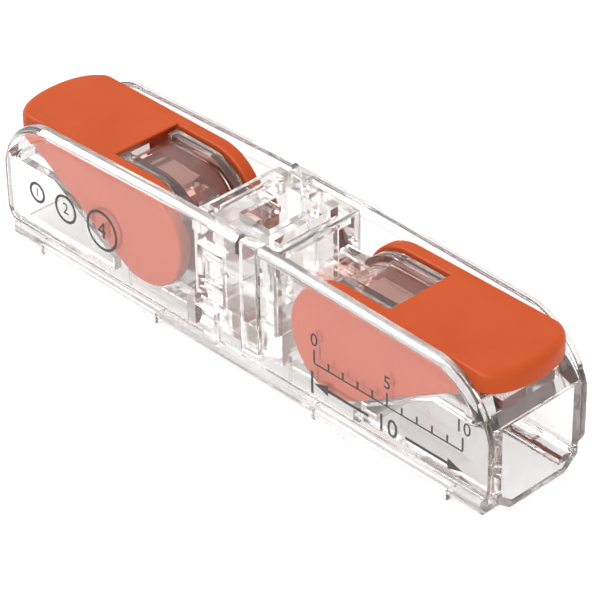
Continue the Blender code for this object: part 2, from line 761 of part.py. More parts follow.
def spring_mesh():
    """Fixed leg of a spring from the bow's centre: hook, straight leg and most of the bow."""
    hook_x = BLOCK_HALF + NOSE_LENGTH + FIT + STRIP / 2 - BOW_X
    path = [
        (hook_x, BOW_RADIUS - HOOK_DROP),
        (hook_x, BOW_RADIUS),
        *arc((0, 0), BOW_RADIUS, math.pi / 2, math.radians(BOW_SPLIT)),
    ]
    spring = plate("spring_blank", strip_outline(path), "XZ", -LEG_HALF, LEG_HALF)
    return finished_mesh(spring)


def tongue_mesh():
    """Moving leg of a spring from the bow's centre, with a round ear on each side."""
    leave, start, tip = tongue_leg()
    first = math.radians(BOW_SPLIT) - FIT / BOW_RADIUS
    path = [*arc((0, 0), BOW_RADIUS, first, leave), tip]
    tongue = plate("tongue_blank", strip_outline(path), "XZ", -SPRING_HALF, SPRING_HALF)
    ears = arc(ear_place(), EAR_RADIUS, 0, 2 * math.pi)[:-1]
    join(tongue, plate("tongue_ears", ears, "XZ", -EAR_END, EAR_END))
    return finished_mesh(tongue)


def pair(name, mesh, x, z, finish):
    """The same piece at both ends, each turned about an origin on its joint's axis."""
    for end, mouth in ((1, "right"), (-1, "left")):
        obj = mesh_object(f"{mouth}_{name}", mesh, PARTS)
        obj.location = (end * x, 0.0, z)
        obj.rotation_euler.z = 0.0 if end > 0 else math.pi
        dress(obj, finish)


def busbar():
    """Tinned copper strip on the floor, under both clamps."""
    bar = block(
        "busbar",
        (-BUSBAR_HALF_LENGTH, -BUSBAR_HALF_WIDTH, FLOOR_TOP + FIT),
        (BUSBAR_HALF_LENGTH, BUSBAR_HALF_WIDTH, BUSBAR_TOP),
        PARTS,
    )
    rounded(bar, BUSBAR_ROUND)
    dress(bar, TINNED)


housing_shell()
base_cover()
centre_carrier()
busbar()
pair("lever", lever_mesh(), PIVOT_X, PIVOT_Z, ORANGE)
pair("clamp_spring", spring_mesh(), BOW_X, BOW_Z, STEEL)
pair("clamp_tongue", tongue_mesh(), BOW_X, BOW_Z, STEEL)
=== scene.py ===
"""Looks of a clear inline lever wire connector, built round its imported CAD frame.

Metres, +Z up. X runs along the connector from one wire mouth to the other. The two ends are alike, turned
half round about Z, so most pieces are drawn for the end at +X and turned for the other.
"""

import math

import bmesh
import bpy
from mathutils import Matrix, Vector


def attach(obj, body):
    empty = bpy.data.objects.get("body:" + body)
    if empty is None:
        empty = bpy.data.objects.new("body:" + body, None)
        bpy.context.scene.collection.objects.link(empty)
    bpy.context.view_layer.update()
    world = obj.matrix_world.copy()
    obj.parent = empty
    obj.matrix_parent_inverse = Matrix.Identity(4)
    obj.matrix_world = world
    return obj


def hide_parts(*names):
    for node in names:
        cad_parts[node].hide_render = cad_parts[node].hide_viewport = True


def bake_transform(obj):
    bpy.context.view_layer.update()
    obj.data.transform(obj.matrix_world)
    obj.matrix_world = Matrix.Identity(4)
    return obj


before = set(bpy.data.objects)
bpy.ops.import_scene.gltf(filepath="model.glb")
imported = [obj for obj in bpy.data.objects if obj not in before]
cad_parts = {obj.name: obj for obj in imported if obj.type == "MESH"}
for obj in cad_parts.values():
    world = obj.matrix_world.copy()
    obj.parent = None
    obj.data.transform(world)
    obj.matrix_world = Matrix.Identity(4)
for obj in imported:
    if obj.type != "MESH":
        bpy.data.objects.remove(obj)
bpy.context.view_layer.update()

# Base cover
# Clear polycarbonate floor that carries everything else: feet ribs, a slanted lip under each wire mouth,
# cradles for the lever discs and two snap hooks. It is moulded in one piece and pressed up into the shell
# until its hooks spring into their windows.
MM = 0.001
END = 17.75 * MM  # middle to the lip of a wire mouth
HALF_WIDTH = 3.4 * MM  # middle to the outer face of a side wall
WALL = 0.45 * MM
FIT = 0.1 * MM  # gap between pieces that rest on or run in each other
MERGE = 0.06 * MM  # how far the shapes of one moulding reach into each other
INSIDE = HALF_WIDTH - WALL - FIT  # half width of what sits between the walls
BASE_BOTTOM = 0.28 * MM
FLOOR = 0.42 * MM
FLOOR_TOP = BASE_BOTTOM + FLOOR
FLANGE_TOP = 1.15 * MM  # where the shell's walls come down on it
PIVOT_X = 7.05 * MM  # lever axis at the +X end
PIVOT_Z = 4.95 * MM
DISC_RADIUS = 3.05 * MM
CHEEK = 0.75 * MM
HOOK_X = 2.0 * MM
HOOK_HALF = 0.5 * MM
HOOK_BARB = (1.75 * MM, 2.55 * MM)  # lower and upper height of a hook's barb
FINE_ARC = math.radians(4)
SHARP_ABOVE = math.radians(32)  # edges that turn by more than this keep a crisp line

workshop = bpy.data.collections.new("workshop")
bpy.context.scene.collection.children.link(workshop)


def arc(centre, radius, start, stop):
    """Points on an arc from angle start to stop, in radians, both included."""
    steps = max(2, math.ceil(abs(stop - start) / FINE_ARC))
    angles = [start + (stop - start) * i / steps for i in range(steps + 1)]
    return [(centre[0] + radius * math.cos(a), centre[1] + radius * math.sin(a)) for a in angles]


def mirrored(outline):
    return [(-u, v) for u, v in outline]


def span(side, near, far):
    """Low and high bound of a stretch from near to far on one side of the middle."""
    return (near, far) if side > 0 else (-far, -near)


def in_plane(plane, u, v, depth):
    """The point at (u, v) of an outline's plane, at a depth square to it."""
    axes = {"XY": (u, v, depth), "XZ": (u, depth, v), "YZ": (depth, u, v)}
    return axes[plane]


def blank_of(name, shape):
    """A shape as an object that is still to be worked."""
    bmesh.ops.recalc_face_normals(shape, faces=shape.faces)
    mesh = bpy.data.meshes.new(name)
    shape.to_mesh(mesh)
    shape.free()
    blank = bpy.data.objects.new(name, mesh)
    workshop.objects.link(blank)
    return blank


def slab(name, outline, plane, low, high):
    """A flat outline given thickness."""
    shape = bmesh.new()
    under, over = (
        [shape.verts.new(in_plane(plane, u, v, depth)) for u, v in outline] for depth in (low, high)
    )
    shape.faces.new(under[::-1])
    shape.faces.new(over)
    for i, corner in enumerate(under):
        shape.faces.new((under[i - 1], corner, over[i], over[i - 1]))
    return blank_of(name, shape)


def loft(name, rows):
    """A skin over rows of points that have the same number of points, closed at both ends."""
    shape = bmesh.new()
    rows = [[shape.verts.new(point) for point in row] for row in rows]
    shape.faces.new(rows[0])
    shape.faces.new(rows[-1])
    for row, following in zip(rows, rows[1:]):
        for i in range(len(row)):
            shape.faces.new((row[i - 1], row[i], following[i], following[i - 1]))
    return blank_of(name, shape)


def brick(name, low, high):
    """A block between two corners."""
    outline = [(low[0], low[1]), (high[0], low[1]), (high[0], high[1]), (low[0], high[1])]
    return slab(name, outline, "XY", low[2], high[2])


def rounded(blank, width, segments=3):
    bevel = blank.modifiers.new("rounded_edges", "BEVEL")
    bevel.width = width
    bevel.segments = segments
    bevel.limit_method = "ANGLE"
    bevel.angle_limit = SHARP_ABOVE
    return blank


def worked(blank, steps=()):
    """The mesh of a blank after shapes are joined to it or cut from it, in order."""
    for operation, tool in steps:
        modifier = blank.modifiers.new(tool.name, "BOOLEAN")
        modifier.operation = operation
        modifier.solver = "EXACT"
        modifier.object = tool
    graph = bpy.context.evaluated_depsgraph_get()
    mesh = bpy.data.meshes.new_from_object(blank.evaluated_get(graph))
    for used in [tool for _, tool in steps] + [blank]:
        bpy.data.objects.remove(used)
    shape = bmesh.new()
    shape.from_mesh(mesh)
    bmesh.ops.remove_doubles(shape, verts=shape.verts, dist=MM / 10000)
    bmesh.ops.dissolve_limit(
        shape, angle_limit=math.radians(0.1), verts=shape.verts, edges=shape.edges
    )
    bmesh.ops.recalc_face_normals(shape, faces=shape.faces)
    shape.to_mesh(mesh)
    shape.free()
    return mesh


def shown(name, mesh, finish, slot, body, *nodes):
    """A finished piece: smooth over its roundings, on a CAD body, in place of CAD nodes."""
    mesh.materials.clear()
    mesh.materials.append(finish)
    mesh.shade_smooth()
    mesh.set_sharp_from_angle(angle=SHARP_ABOVE)
    piece = bpy.data.objects.new(name, mesh)
    bpy.context.scene.collection.objects.link(piece)
    normals = piece.modifiers.new("flat_faces_stay_flat", "WEIGHTED_NORMAL")
    normals.keep_sharp = True
    if body:
        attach(piece, body)
    if nodes:
        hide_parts(*nodes)
    return piece


def node(tree, kind, **inputs):
    """A shader node with its sockets set; a socket's value may be another node's output."""
    made = tree.nodes.new(kind)
    for key, value in inputs.items():
        socket = made.inputs[key.replace("_", " ")]
        if isinstance(value, bpy.types.NodeSocket):
            tree.links.new(value, socket)
        else:
            socket.default_value = value
    return made


def shader_of(finish):
    finish.use_nodes = True
    return finish.node_tree, finish.node_tree.nodes["Principled BSDF"]


def clear_polycarbonate(name, clarity, brownness):
    """Clear moulded plastic: brownish over a long way through it, with flow waves and faint haze."""
    finish = bpy.data.materials.new(name)
    tree, shader = shader_of(finish)
    shader.inputs["Base Color"].default_value = (0.97, 0.97, 0.965, 1.0)
    shader.inputs["Transmission Weight"].default_value = clarity
    shader.inputs["IOR"].default_value = 1.58
    depth = node(tree, "ShaderNodeVolumeAbsorption", Color=(0.62, 0.56, 0.55, 1.0), Density=brownness)
    tree.links.new(depth.outputs[0], tree.nodes["Material Output"].inputs["Volume"])
    place = node(tree, "ShaderNodeTexCoord").outputs["Object"]
    haze = node(tree, "ShaderNodeTexNoise", Vector=place, Scale=900.0, Detail=3.0)
    cloudy = node(tree, "ShaderNodeMapRange", Value=haze.outputs["Fac"], To_Min=0.0, To_Max=0.07)
    tree.links.new(cloudy.outputs["Result"], shader.inputs["Roughness"])
    flow = node(tree, "ShaderNodeTexNoise", Vector=place, Scale=260.0, Detail=1.0)
    waves = node(tree, "ShaderNodeBump", Strength=0.05, Distance=0.02 * MM, Height=flow.outputs["Fac"])
    tree.links.new(waves.outputs["Normal"], shader.inputs["Normal"])
    return finish


def lip_outline():
    """Lower lip of a mouth seen along X: a flat floor with slanted sides."""
    flat, rise, side_top = 1.9 * MM, 0.74 * MM, 1.5 * MM
    run = INSIDE - flat
    slant = math.hypot(run, rise)
    inner_y = flat - FLOOR * rise / slant
    inner_z = BASE_BOTTOM + FLOOR * run / slant
    half = [
        (flat, BASE_BOTTOM),
        (INSIDE, BASE_BOTTOM + rise),
        (INSIDE, side_top),
        (INSIDE - FLOOR, side_top),
        (INSIDE - FLOOR, inner_z + (INSIDE - FLOOR - inner_y) * rise / run),
        (inner_y + (FLOOR_TOP - inner_z) * run / rise, FLOOR_TOP),
    ]
    return half + mirrored(half)[::-1]


def cradle_outline():
    """Seat of a lever disc at the +X end, hollowed round the pivot."""
    top, reach_out, reach_in = 2.7 * MM, 1.25 * MM, 3.3 * MM
    radius = DISC_RADIUS + FIT
    first = -math.pi + math.asin((PIVOT_Z - top) / radius)
    last = -math.acos(reach_out / radius)
    foot = FLOOR_TOP - MERGE
    return [
        (PIVOT_X - reach_in, foot),
        (PIVOT_X - reach_in, top),
        *arc((PIVOT_X, PIVOT_Z), radius, first, last),
        (PIVOT_X + reach_out, foot),
    ]


def hook_outline(side):
    """Snap hook seen along X: a thin arm with a slanted barb that faces out."""
    arm_inner, tip = INSIDE - 0.3 * MM, HALF_WIDTH - 0.1 * MM
    outline = [
        (arm_inner, FLOOR_TOP - MERGE),
        (INSIDE, FLOOR_TOP - MERGE),
        (INSIDE, HOOK_BARB[0]),
        (tip, HOOK_BARB[0]),
        (INSIDE, HOOK_BARB[1]),
        (arm_inner, HOOK_BARB[1]),
    ]
    return outline if side > 0 else mirrored(outline)


def base_cover():
    chamfer, set_back = 0.18 * MM, 0.55 * MM
    half = [
        (HALF_WIDTH - chamfer, BASE_BOTTOM),
        (HALF_WIDTH, BASE_BOTTOM + chamfer),
        (HALF_WIDTH, FLANGE_TOP),
        (INSIDE, FLANGE_TOP),
        (INSIDE, FLOOR_TOP),
    ]
    plate = slab("plate", half + mirrored(half)[::-1], "YZ", set_back - END, END - set_back)
    steps = []
    lip_length, lip_round, rib_round = 5.2 * MM, 0.1 * MM, 0.16 * MM
    rib_start, rib_end, rib_width, rib_top = 5.7 * MM, 15.1 * MM, 0.7 * MM, 0.8 * MM
    cradle_low, cradle_high = INSIDE - 0.65 * MM, INSIDE - 0.1 * MM
    for end in (1, -1):
        lip = slab(f"lip_{end}", lip_outline(), "YZ", *span(end, END - lip_length, END))
        steps.append(("UNION", rounded(lip, lip_round)))
        cradle = cradle_outline() if end > 0 else mirrored(cradle_outline())
        x = span(end, rib_start, rib_end)
        for side in (-1, 1):
            y = span(side, HALF_WIDTH - rib_width, HALF_WIDTH + MERGE)
            rib = brick(f"rib_{end}_{side}", (x[0], y[0], 0.0), (x[1], y[1], rib_top))
            steps.append(("UNION", rounded(rib, rib_round, 4)))
            seat = slab(f"cradle_{end}_{side}", cradle, "XZ", *span(side, cradle_low, cradle_high))
            steps.append(("UNION", seat))
    for side in (-1, 1):
        x = (side * HOOK_X - HOOK_HALF, side * HOOK_X + HOOK_HALF)
        steps.append(("UNION", slab(f"hook_{side}", hook_outline(side), "YZ", *x)))
    return worked(plate, steps)


CLEAR_BASE = clear_polycarbonate("clear_base_plastic", 0.985, 110.0)
shown("clear_base_cover", base_cover(), CLEAR_BASE, "clear_plastic", "housing", "base_cover")

# Busbar
# Tinned copper strip laid on the floor. It joins the two wires, which the clamps press down on it, and
# is stamped with cross grooves where they grip.
BUSBAR_TOP = FLOOR_TOP + FIT + 0.5 * MM
CLAMP_X = 5.6 * MM  # where a spring's tip comes down


def tinned_copper():
    finish = bpy.data.materials.new("tinned_copper")
    tree, shader = shader_of(finish)
    shader.inputs["Metallic"].default_value = 1.0
    place = node(tree, "ShaderNodeTexCoord").outputs["Object"]
    rolled = node(tree, "ShaderNodeMapping", Vector=place, Scale=(200.0, 6000.0, 2000.0))
    grain = node(tree, "ShaderNodeTexNoise", Vector=rolled.outputs["Vector"], Scale=1.0, Detail=4.0)
    tone = node(tree, "ShaderNodeValToRGB", Fac=grain.outputs["Fac"])
    tone.color_ramp.elements[0].color = (0.66, 0.62, 0.56, 1.0)
    tone.color_ramp.elements[1].color = (0.84, 0.81, 0.76, 1.0)
    tree.links.new(tone.outputs["Color"], shader.inputs["Base Color"])
    matt = node(tree, "ShaderNodeMapRange", Value=grain.outputs["Fac"], To_Min=0.22, To_Max=0.42)
    tree.links.new(matt.outputs["Result"], shader.inputs["Roughness"])
    return finish


def busbar():
    half_length, half_width = 9.0 * MM, 1.6 * MM
    bar = brick(
        "bar", (-half_length, -half_width, FLOOR_TOP + FIT), (half_length, half_width, BUSBAR_TOP)
    )
    rounded(bar, 0.12 * MM)
    pitch, groove_half, depth = 0.55 * MM, 0.14 * MM, 0.12 * MM
    steps = []
    for end in (1, -1):
        for i in range(-2, 3):
            x = end * CLAMP_X + i * pitch
            groove = [
                (x - groove_half, BUSBAR_TOP + MERGE),
                (x, BUSBAR_TOP - depth),
                (x + groove_half, BUSBAR_TOP + MERGE),
            ]
            cutter = slab(f"groove_{end}_{i}", groove, "XZ", -2 * half_width, 2 * half_width)
            steps.append(("DIFFERENCE", cutter))
    return worked(bar, steps)


shown("tinned_busbar", busbar(), tinned_copper(), "tinned_copper", "housing", "busbar")

# Clamp springs
# One bent strip of stainless spring steel at each end. Its upper leg hooks over a nose of the carrier, and
# its tongue presses the wire on the busbar. Round ears let the lever's cams lift the tongue, and the bow
# between the two legs bends.
STRIP = 0.3 * MM
SPRING_HALF = 1.6 * MM  # half width of the tongue
LEG_HALF = 0.7 * MM  # half width of the hook, leg and bow
BOW_X = PIVOT_X + 2.45 * MM
LEG_Z = 6.55 * MM
BOW_RADIUS = 0.9 * MM
BOW_Z = LEG_Z - BOW_RADIUS
NOSE_END = 6.55 * MM  # middle to the end of the carrier's nose
TIP = (CLAMP_X - BOW_X, BUSBAR_TOP + FIT + STRIP / 2 - BOW_Z)  # tongue's tip from the bow's centre


def spring_steel():
    finish = bpy.data.materials.new("spring_steel")
    tree, shader = shader_of(finish)
    shader.inputs["Metallic"].default_value = 1.0
    place = node(tree, "ShaderNodeTexCoord").outputs["Object"]
    rolled = node(tree, "ShaderNodeMapping", Vector=place, Scale=(300.0, 9000.0, 300.0))
    grain = node(tree, "ShaderNodeTexNoise", Vector=rolled.outputs["Vector"], Scale=1.0, Detail=5.0)
    tone = node(tree, "ShaderNodeValToRGB", Fac=grain.outputs["Fac"])
    tone.color_ramp.elements[0].color = (0.50, 0.49, 0.48, 1.0)
    tone.color_ramp.elements[1].color = (0.62, 0.61, 0.60, 1.0)
    tree.links.new(tone.outputs["Color"], shader.inputs["Base Color"])
    shine = node(tree, "ShaderNodeMapRange", Value=grain.outputs["Fac"], To_Min=0.04, To_Max=0.14)
    tree.links.new(shine.outputs["Result"], shader.inputs["Roughness"])
    return finish


def ribbon(path, halves):
    """A strip of even thickness bent along a path, with its half width at each point."""
    rows = []
    for i, (point, half) in enumerate(zip(path, halves)):
        here = Vector(point)
        before = (here - Vector(path[i - 1])).normalized() if i else None
        after = (Vector(path[i + 1]) - here).normalized() if i + 1 < len(path) else None
        before, after = before or after, after or before
        along = (before + after).normalized()
        mitre = STRIP / 2 / max(along.dot(after), 0.5)
        across = Vector((-along.y, along.x)) * mitre
        over, under = here + across, here - across
        row = [(over.x, -half, over.y), (over.x, half, over.y)]
        rows.append(row + [(under.x, half, under.y), (under.x, -half, under.y)])
    return loft("strip", rows)


def tongue_start():
    """Angle round the bow where the tongue's straight leg begins."""
    return math.atan2(TIP[1], TIP[0]) + math.acos(BOW_RADIUS / math.hypot(*TIP))


def ear_place():
    leave = tongue_start()
    start = (BOW_RADIUS * math.cos(leave), BOW_RADIUS * math.sin(leave))
    return tuple((s + t) / 2 for s, t in zip(start, TIP))


def clamp_spring():
    """Hook, leg, bow and tongue in one strip that widens round the bow, with the tongue's ears."""
    hook_x = NOSE_END + FIT + STRIP / 2 - BOW_X
    hook_drop, ear_radius, ear_end = 0.6 * MM, 0.3 * MM, 2.0 * MM
    widens = math.radians(-5.0)
    bow = arc((0, 0), BOW_RADIUS, math.pi / 2, tongue_start())
    path = [(hook_x, BOW_RADIUS - hook_drop), (hook_x, BOW_RADIUS), *bow, TIP]
    halves = [LEG_HALF, LEG_HALF]
    for u, w in bow:
        share = (widens - math.atan2(w, u)) / (widens - tongue_start())
        share = min(max(share, 0.0), 1.0)
        halves.append(LEG_HALF + (SPRING_HALF - LEG_HALF) * share * share * (3 - 2 * share))
    halves.append(SPRING_HALF)
    ears = slab("ears", arc(ear_place(), ear_radius, 0, 2 * math.pi)[:-1], "XZ", -ear_end, ear_end)
    return worked(rounded(ribbon(path, halves), 0.04 * MM, 2), [("UNION", rounded(ears, 0.06 * MM, 2))])


def half_turned(mesh, end):
    """A copy of a mesh drawn for the +X end, turned for the end that it is used at."""
    made = mesh.copy()
    if end < 0:
        made.transform(Matrix.Rotation(math.pi, 4, "Z"))
    return made


spring_mesh = clamp_spring()
spring_mesh.transform(Matrix.Translation((BOW_X, 0.0, BOW_Z)))
STEEL = spring_steel()
for end, mouth in ((1, "right"), (-1, "left")):
    nodes = (f"{mouth}_clamp_spring", f"{mouth}_clamp_tongue")
    bent = half_turned(spring_mesh, end)
    spring = shown(f"{mouth}_bent_spring", bent, STEEL, "spring_steel", None, *nodes)
    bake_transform(spring)

# Centre carrier
# Clear insert between the levers, moulded in one piece. It has the test port, a cover that fills
# each lever's window, with painted shade in its colour and a darker painted reflection on its rims,
# noses for the springs, and a key lug on each side that slides down a slot in the shell's wall.
BLOCK_HALF = 3.0 * MM
BLOCK_TOP = 8.2 * MM
BLOCK_FOOT = 3.2 * MM
LUG_X = 1.45 * MM
LUG_WIDTH = 1.3 * MM
LUG_BOTTOM = 1.75 * MM
SIGHT = (0.55 * MM, 2.35 * MM)  # opening in a wall, from beside the key lug outwards
SIGHT_HEIGHTS = (3.45 * MM, 6.6 * MM)
COVER_HALF = 1.95 * MM
RIM_INNER = COVER_HALF - 0.65 * MM  # middle to the rims along a window cover


def cover_outline(sunk, thick, end):
    """Side view of a window cover at +X: round the pivot like the lever's disc, then level."""
    start = math.radians(145)
    foot, rise = BLOCK_HALF - MERGE - PIVOT_X, math.sin(start)
    upper, lower = DISC_RADIUS - sunk, DISC_RADIUS - sunk - thick
    outline = [
        (foot, upper * rise),
        *arc((0, 0), upper, start, math.pi / 2),
        (end, upper),
        (end, lower),
        *arc((0, 0), lower, math.pi / 2, start),
        (foot, lower * rise),
    ]
    return [(PIVOT_X + u, PIVOT_Z + w) for u, w in outline]


def centre_carrier():
    block = brick(
        "block", (-BLOCK_HALF, -INSIDE, BLOCK_FOOT), (BLOCK_HALF, INSIDE, BLOCK_TOP)
    )
    rounded(block, 0.2 * MM, 5)
    foot_half, foot_width, root = BLOCK_HALF - MERGE, 2.4 * MM, 0.26 * MM
    foot = brick(
        "foot",
        (-foot_half, -foot_width, BUSBAR_TOP + FIT),
        (foot_half, foot_width, BLOCK_FOOT + root),
    )
    steps = [("UNION", foot)]
    nose_top, nose_height, cover_end = LEG_Z - STRIP / 2 - FIT, 0.9 * MM, 2.7 * MM
    for end in (1, -1):
        outline = cover_outline(0.55 * MM, 0.4 * MM, cover_end - FIT)
        outline = outline if end > 0 else mirrored(outline)
        reach = RIM_INNER + MERGE
        steps.append(("UNION", slab(f"cover_{end}", outline, "XZ", -reach, reach)))
        outline = cover_outline(0.2 * MM, 0.7 * MM, cover_end)
        outline = outline if end > 0 else mirrored(outline)
        for side in (-1, 1):
            rim = slab(f"rim_{end}_{side}", outline, "XZ", *span(side, RIM_INNER, COVER_HALF))
            steps.append(("UNION", rounded(rim, 0.06 * MM, 2)))
        x = span(end, foot_half, NOSE_END)
        nose = brick(
            f"nose_{end}",
            (x[0], -LEG_HALF, nose_top - nose_height),
            (x[1], LEG_HALF, nose_top),
        )
        steps.append(("UNION", nose))
    lug_top, lug_proud, stay_out, stay_height = 8.3 * MM, 0.1 * MM, 0.3 * MM, 0.35 * MM
    for side in (-1, 1):
        x, y = -side * LUG_X, span(side, INSIDE - root, HALF_WIDTH + lug_proud)
        lug = brick(
            f"lug_{side}",
            (x - LUG_WIDTH / 2, y[0], LUG_BOTTOM),
            (x + LUG_WIDTH / 2, y[1], lug_top),
        )
        steps.append(("UNION", rounded(lug, 0.1 * MM)))
        x = span(side, SIGHT[0] + FIT, SIGHT[1] - FIT)
        y = span(side, INSIDE - MERGE, INSIDE + stay_out)
        for height in (4.0 * MM, 5.9 * MM):
            stay = brick(
                f"stay_{side}_{height}", (x[0], y[0], height), (x[1], y[1], height + stay_height)
            )
            steps.append(("UNION", rounded(stay, 0.06 * MM, 2)))
    moat_bottom, moat_half, ridge_half = BLOCK_TOP - 0.6 * MM, 2.2 * MM, 1.7 * MM
    moat_reach, ridge_reach = (1.95 * MM, 2.7 * MM), (2.3 * MM, 2.5 * MM)
    ridge_top = BLOCK_TOP - 0.15 * MM
    for end in (1, -1):
        x = span(end, *moat_reach)
        moat = brick(
            f"moat_{end}", (x[0], -moat_half, moat_bottom), (x[1], moat_half, BLOCK_TOP + WALL)
        )
        steps.append(("DIFFERENCE", moat))
        x = span(end, *ridge_reach)
        ridge = brick(
            f"ridge_{end}",
            (x[0], -ridge_half, moat_bottom - MERGE),
            (x[1], ridge_half, ridge_top),
        )
        steps.append(("UNION", rounded(ridge, 0.05 * MM, 2)))
    port_x, port_y = 1.1 * MM, 1.65 * MM
    port = brick("port", (-port_x, -port_y, 0.0), (port_x, port_y, BLOCK_TOP + WALL))
    steps.append(("DIFFERENCE", port))
    return worked(block, steps)


def distance_share(tree, axis, start, end):
    """0 up to a distance start from the middle along an axis, 1 from the distance end on."""
    place = node(tree, "ShaderNodeTexCoord").outputs["Object"]
    away = tree.nodes.new("ShaderNodeMath")
    away.operation = "ABSOLUTE"
    tree.links.new(node(tree, "ShaderNodeSeparateXYZ", Vector=place).outputs[axis], away.inputs[0])
    share = node(tree, "ShaderNodeMapRange", Value=away.outputs[0], From_Min=start, From_Max=end)
    return share.outputs["Result"]


def smoke_covers(finish):
    """Paints shade into the window covers of the insert from where they leave its block, tinted warm like
    the shaded orange seen through them, and a darker painted reflection on their rims.
    """
    tree, shader = shader_of(finish)
    tone = node(tree, "ShaderNodeValToRGB", Fac=distance_share(tree, "Y", RIM_INNER - FIT, RIM_INNER))
    # painted shade over the covers, warm like the shaded orange under them, and a painted dark reflection
    # on the rims
    tone.color_ramp.elements[0].color = (0.90, 0.63, 0.57, 1.0)
    tone.color_ramp.elements[1].color = (0.42, 0.36, 0.33, 1.0)
    mixed = node(tree, "ShaderNodeMixRGB", Color1=(0.97, 0.97, 0.965, 1.0), Color2=tone.outputs["Color"])
    cover_share = distance_share(tree, "X", BLOCK_HALF, BLOCK_HALF + 0.6 * MM)
    tree.links.new(cover_share, mixed.inputs["Fac"])
    tree.links.new(mixed.outputs["Color"], shader.inputs["Base Color"])
    return finish


CLEAR_INSERT = smoke_covers(clear_polycarbonate("clear_insert_plastic", 0.98, 40.0))
shown(
    "clear_centre_carrier", centre_carrier(), CLEAR_INSERT, "clear_plastic", "housing", "centre_carrier"
)

# Levers
# Two orange polyamide levers, closed. Each has a finger tab and two cheeks whose discs turn in the base's
# cradles, with a window between them. Cam ribs inside the cheeks lift the spring as the tab swings up.
CHEEK_INNER = INSIDE - CHEEK
CHEEK_END = 8.95 * MM  # pivot to where a cheek runs out under the tab
TAB_THICK = 1.25 * MM
TAB_CROWN = 1.5 * MM  # length of the curved tip
TAB_TIP = END - 0.05 * MM - PIVOT_X
TAB_ROUND = 0.45 * MM
LEVER_ROUND = 0.16 * MM
WINDOW_OUT = 2.75 * MM  # pivot to the tab's edge at the window, which is undercut
LEVER_TURN = 88.0
TONGUE_TURN = 26.0


def orange_polyamide():
    """Satin orange plastic: fine spark-eroded grain, slightly paler on worn places."""
    finish = bpy.data.materials.new("orange_polyamide")
    tree, shader = shader_of(finish)
    shader.inputs["Specular IOR Level"].default_value = 0.12
    place = node(tree, "ShaderNodeTexCoord").outputs["Object"]
    cloud = node(tree, "ShaderNodeTexNoise", Vector=place, Scale=350.0, Detail=3.0)
    tone = node(tree, "ShaderNodeValToRGB", Fac=cloud.outputs["Fac"])
    tone.color_ramp.elements[0].position = 0.3
    tone.color_ramp.elements[1].position = 0.7
    tone.color_ramp.elements[0].color = (0.655, 0.095, 0.019, 1.0)
    tone.color_ramp.elements[1].color = (0.705, 0.108, 0.025, 1.0)
    tree.links.new(tone.outputs["Color"], shader.inputs["Base Color"])
    grain = node(tree, "ShaderNodeTexNoise", Vector=place, Scale=9000.0, Detail=4.0)
    satin = node(tree, "ShaderNodeMapRange", Value=grain.outputs["Fac"], To_Min=0.34, To_Max=0.5)
    tree.links.new(satin.outputs["Result"], shader.inputs["Roughness"])
    pits = node(tree, "ShaderNodeBump", Strength=0.06, Distance=0.01 * MM, Height=grain.outputs["Fac"])
    tree.links.new(pits.outputs["Normal"], shader.inputs["Normal"])
    return finish


def turned(point, degrees):
    """A point turned about the origin, from +X towards +Z."""
    a = math.radians(degrees)
    u, w = point
    return (u * math.cos(a) - w * math.sin(a), u * math.sin(a) + w * math.cos(a))


def cam_outline():
    """Cam rib of the lever at +X: the track of the spring's ear as both turn, and an outer arc."""
    steps, ear_clear, cam_radius = 24, 0.3 * MM + FIT, 2.75 * MM
    bow = (BOW_X - PIVOT_X, BOW_Z - PIVOT_Z)
    track = []
    for i in range(steps + 1):
        lifted = turned(ear_place(), -TONGUE_TURN * i / steps)
        track.append(turned((bow[0] + lifted[0], bow[1] + lifted[1]), -LEVER_TURN * i / steps))
    edge = []
    for i, (u, w) in enumerate(track):
        before, after = track[max(i - 1, 0)], track[min(i + 1, steps)]
        along = Vector((after[0] - before[0], after[1] - before[1])).normalized()
        away = Vector((along.y, -along.x))
        away = away if away.dot(Vector((u, w))) > 0 else -away
        edge.append((u + away.x * ear_clear, w + away.y * ear_clear))
    first = math.atan2(edge[0][1], edge[0][0])
    last = math.atan2(edge[-1][1], edge[-1][0])
    last = last - 2 * math.pi if last > first else last
    return edge + arc((0, 0), cam_radius, last, first)


def lever_side():
    """Side view of the lever at +X from its pivot: disc, slanted cheek and tab."""
    under = DISC_RADIUS - TAB_THICK
    touch = math.atan2(under, CHEEK_END) - math.acos(DISC_RADIUS / math.hypot(CHEEK_END, under))
    return [
        *arc((0, 0), DISC_RADIUS, math.pi / 2, 2 * math.pi + touch),
        (CHEEK_END, under),
        (TAB_TIP + WALL, under),
        (TAB_TIP + WALL, DISC_RADIUS),
    ]


def lever_plan():
    """Plan of the lever at +X from its pivot, with the tab's curved tip."""
    steps, power = 36, 2 / 2.1
    crown, back = TAB_TIP - TAB_CROWN, -DISC_RADIUS - WALL
    outline = [(back, -INSIDE), (back, INSIDE)]
    for i in range(steps + 1):
        a = math.pi / 2 - math.pi * i / steps
        x = crown + TAB_CROWN * max(math.cos(a), 0.0) ** power
        outline.append((x, math.copysign(INSIDE * abs(math.sin(a)) ** power, a)))
    return outline


def weigh_edges(mesh):
    """How much each edge is rounded: full at the tab's tip, less along the cheeks, none inside."""
    hollow_end, least, near = CHEEK_END + WALL, LEVER_ROUND / TAB_ROUND, MM / 1000
    shape = bmesh.new()
    shape.from_mesh(mesh)
    weight = shape.edges.layers.float.new("bevel_weight_edge")
    for edge in shape.edges:
        middle = (edge.verts[0].co + edge.verts[1].co) / 2
        along_hollow = WINDOW_OUT + near < middle.x < hollow_end + near
        in_hollow = along_hollow and abs(middle.y) < CHEEK_INNER + near
        if edge.calc_face_angle(0.0) > SHARP_ABOVE and not in_hollow:
            tip = min(max((middle.x - TAB_TIP + TAB_CROWN) / (TAB_CROWN / 2), 0.0), 1.0)
            on_top = middle.z > DISC_RADIUS - near
            edge[weight] = least + (1 - least) * tip * on_top
    shape.to_mesh(mesh)
    shape.free()


